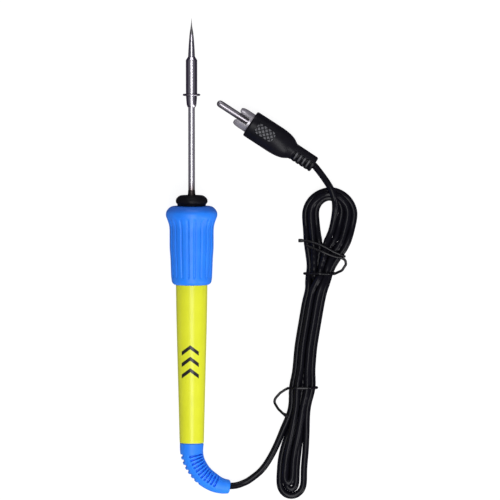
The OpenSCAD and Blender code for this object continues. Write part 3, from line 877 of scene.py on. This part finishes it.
def plugShape(u, angle, radius):
    # radius + raised diamonds on the top and bottom pads - bending slots in the strain relief
    b = plugBody
    turn = (angle + math.pi) % (2 * math.pi) - math.pi
    fromPole = np.minimum(np.abs(turn), math.pi - np.abs(turn)) * np.sign(turn)
    across = b["radius"] * fromPole
    along = u - b["padAt"]
    inside = 1 - step(0.86, 1.0, (along / b["padLong"]) ** 4 + (across / b["padWide"]) ** 4)
    p, q = (along + across) / b["padPitch"], (along - across) / b["padPitch"]
    peak = np.minimum(np.abs(np.sin(math.pi * p / 1.414)), np.abs(np.sin(math.pi * q / 1.414)))
    pad = b["padHeight"] * inside * np.clip(peak * 2 - 0.35, 0, 1) * step(6.2, 6.35, radius)
    degrees = np.degrees(turn)
    side = window(degrees, -172, -160, 4, 14) * (0.25 + 0.75 * step(-85, -55, degrees))
    slots = pulse(u, b["firstSlot"], b["slotPitch"], b["slots"], b["slotWidth"])
    relief = b["slotDepth"] * side * slots * step(2.0, 2.2, radius) * (1 - step(-23.4, -23.0, u))
    return radius + pad - relief


def makePlug():
    # moulded body with its strain relief, white disc in its front, and the centre pin
    outline = rounded([(-3.0, 4.0), (-3.0, 4.66), (0, 4.66), (0, 6.38, 0.9), (-16.0, 6.4, 3),
                       (-20.2, 5.6, 2.6), (-22.6, 4.2, 1.2), (-23.1, 3.85, 0.3), (-34.7, 3.75, 0.9),
                       (-34.7, 1.62, 0.2), (-13.0, 1.62), (-12.0, 4.0)])
    body = swept("plugBody", plugPath, outline, gap=0.17, sides=256, shape=plugShape, sharp=45)
    outline = rounded([(-2.5, 1.6), (-2.5, 4.25), (1.3, 4.25, 0.2), (1.3, 2.3, 0.2), (1.0, 2.1), (1.0, 1.6)])
    disc = swept("insulator", plugPath, outline, gap=1.0)
    outline = rounded([(-6, 0), (-6, 1.6), (16.6, 1.6, 0.5), (17.5, 1.1, 0.5), (17.8, 0.3, 0.2), (17.8, 0)])
    pin = swept("pin", plugPath, outline, gap=1.2, sides=64)
    return [addPiece("plugBody", body, "plug", "root", "plug_plastic", "plug_body"),
            addPiece("plugInsulator", disc, "white", "root", "plug_white", "plug_insulator"),
            addPiece("plugPin", pin, "pin", "root", "nickel", "plug_pin")]


def plateLayer(u, angle, radius):
    # points round the plug's axis: centre + radius * (sin * side + cos * top)
    radius = np.broadcast_to(radius, u.shape)
    centre, side, top = plugPath(u.ravel())
    turn = angle.ravel()[:, None]
    points = centre + radius.ravel()[:, None] * (np.sin(turn) * side + np.cos(turn) * top)
    return points.reshape(*u.shape, 3)


def plateMesh(outer, inner):
    # a thin closed plate: rows run across outer, over the front edge, and back along inner
    rows = np.vstack([outer, inner[::-1]])
    count, columns = rows.shape[:2]
    index = np.arange(count * columns).reshape(count, columns)
    below = np.roll(index, -1, axis=0)
    quads = np.stack([index[:, :-1], below[:, :-1], below[:, 1:], index[:, 1:]], axis=-1)
    quads = quads.reshape(-1, 4).tolist()
    half = count // 2
    for column in (0, columns - 1):
        up, down = index[:half, column], index[half:, column][::-1]
        quads += np.stack([up[:-1], up[1:], down[1:], down[:-1]], axis=-1).tolist()
    mesh = bpy.data.meshes.new("plate")
    mesh.from_pydata((rows.reshape(-1, 3) * mm).tolist(), [], quads)
    return closeMesh(mesh)


def joined(name, parts):
    # one mesh with the faces of all the parts
    work = bmesh.new()
    for part in parts:
        work.from_mesh(part)
    mesh = bpy.data.meshes.new(name)
    work.to_mesh(mesh)
    work.free()
    return shade(mesh)


shellSize = {"outer": 4.65, "thick": 0.4, "base": 1.2, "length": 6.9, "halfGap": 24, "corner": 2.2,
             "tuck": 0.8}


def makeShell():
    # ring at the base, and a tongue on each side whose front corners are rounded
    s = shellSize
    inside = s["outer"] - s["thick"]
    outline = rounded([(-3, inside), (-3, s["outer"]), (s["base"], s["outer"], 0.1),
                       (s["base"], inside, 0.1)])
    parts = [swept("shell", plugPath, outline, gap=1.0)]
    t = np.linspace(-1, 1, 40)
    reach = 90 - s["halfGap"]
    arc = math.radians(reach) * s["outer"]
    past = np.clip((np.abs(t) * arc - arc + s["corner"]) / s["corner"], 0, 1)
    front = s["length"] - s["corner"] * (1 - np.sqrt(1 - past ** 2))
    rows = np.linspace(0, 1, 16)[:, None]
    start = s["base"] - 0.3
    u = start + rows * (front[None, :] - s["base"] + 0.3)
    tuck = s["tuck"] * rows ** 6 * np.ones_like(u)
    for middle in (90, 270):
        angle = np.radians(middle + reach * t)[None, :].repeat(16, axis=0)
        parts.append(plateMesh(plateLayer(u, angle, s["outer"] - tuck), plateLayer(u, angle, inside - tuck)))
    return addPiece("plugShell", joined("plugShell", parts), "nickel", "root", "nickel", "plug_shell")


plugPieces = makePlug()
plugPieces.append(makeShell())
print("plug made")

# pieces that stay as the frame has them: name, base, dark and roughness of each material
innerFinish = {
    "back_washer": ("mica", (0.60, 0.55, 0.42), (0.45, 0.40, 0.30), 0.55),
    "coil_former": ("ceramic", (0.80, 0.78, 0.73), (0.70, 0.67, 0.60), 0.70),
    "coil_sleeve": ("ceramicSleeve", (0.76, 0.74, 0.69), (0.66, 0.62, 0.55), 0.72),
    "lead_insulator": ("ceramicRod", (0.82, 0.80, 0.75), (0.72, 0.69, 0.62), 0.68),
    "splice_sleeves": ("glassSleeving", (0.72, 0.66, 0.46), (0.58, 0.50, 0.32), 0.60),
    "core_insulation": ("coreJacket", (0.34, 0.02, 0.015), (0.22, 0.012, 0.01), 0.42),
    "cord_inner": ("innerJacket", (0.010, 0.008, 0.014), (0.022, 0.019, 0.032), 0.36),
    "collar_washer": ("fibre", (0.26, 0.15, 0.07), (0.16, 0.09, 0.04), 0.70),
}
innerMetal = {
    "heating_coil": ("nichrome", (0.22, 0.18, 0.16), (0.10, 0.08, 0.07), 0.45),
    "element_leads": ("nickelWire", (0.50, 0.47, 0.43), (0.36, 0.34, 0.31), 0.35),
    "crimp_barrels": ("brass", (0.68, 0.48, 0.18), (0.50, 0.34, 0.12), 0.32),
    "cord_cores": ("copperStrand", (0.70, 0.32, 0.18), (0.48, 0.20, 0.11), 0.38),
    "plug_cores": ("copperCore", (0.70, 0.32, 0.18), (0.48, 0.20, 0.11), 0.38),
    "cord_clamp": ("zincSteel", (0.50, 0.50, 0.49), (0.36, 0.36, 0.35), 0.40),
}


def paintInner():
    # gives each inner node its material, in every slot it has
    rows = [(node, mouldedPlastic(*row)) for node, row in innerFinish.items()]
    rows += [(node, turnedMetal(*row)) for node, row in innerMetal.items()]
    for node, recipe in rows:
        slots = frame["nodes"][node].material_slots
        if not slots:
            frame["nodes"][node].data.materials.append(recipe.material)
        for slot in slots:
            slot.material = recipe.material


paintInner()

tableLook = {"reach": 3.0, "color": 0.15, "rough": 0.9, "glow": 0.9}
# world: share of the way from straight down to straight up, and the colour there
worldLook = [(0.55, (0.045, 0.036, 0.060, 1)), (0.92, (0.26, 0.26, 0.28, 1))]


def makeTable():
    # pale table that mostly glows, so that only faint soft shadows show on it
    reach, color = tableLook["reach"], tableLook["color"]
    mesh = bpy.data.meshes.new("table")
    mesh.from_pydata([(-reach, -reach, 0), (reach, -reach, 0), (reach, reach, 0), (-reach, reach, 0)], [],
                     [(0, 1, 2, 3)])
    recipe = Recipe("tablePaper", Base_Color=(color, color, color, 1), Roughness=tableLook["rough"],
                    Specular_IOR_Level=0.0, Emission_Color=(1, 1, 1, 1), Emission_Strength=tableLook["glow"])
    mesh.materials.append(recipe.material)
    table = bpy.data.objects.new("table", mesh)
    table.visible_glossy = False
    bpy.context.scene.collection.objects.link(table)


def makeWorld():
    # bright overhead, dim towards and below the horizon, so that metal shows dark flanks
    world = bpy.data.worlds.new("studio")
    bpy.context.scene.world = world
    world.use_nodes = True
    nodes, links = world.node_tree.nodes, world.node_tree.links
    place = nodes.new("ShaderNodeTexCoord")
    split = nodes.new("ShaderNodeSeparateXYZ")
    ramp = nodes.new("ShaderNodeValToRGB")
    for element, (position, color) in zip(ramp.color_ramp.elements, worldLook):
        element.position = position
        element.color = color
    half = nodes.new("ShaderNodeMapRange")
    half.inputs["From Min"].default_value = -1.0
    links.new(place.outputs["Generated"], split.inputs[0])
    links.new(split.outputs["Z"], half.inputs["Value"])
    links.new(half.outputs[0], ramp.inputs[0])
    links.new(ramp.outputs[0], nodes["Background"].inputs["Color"])


makeTable()
makeWorld()
print("finished")
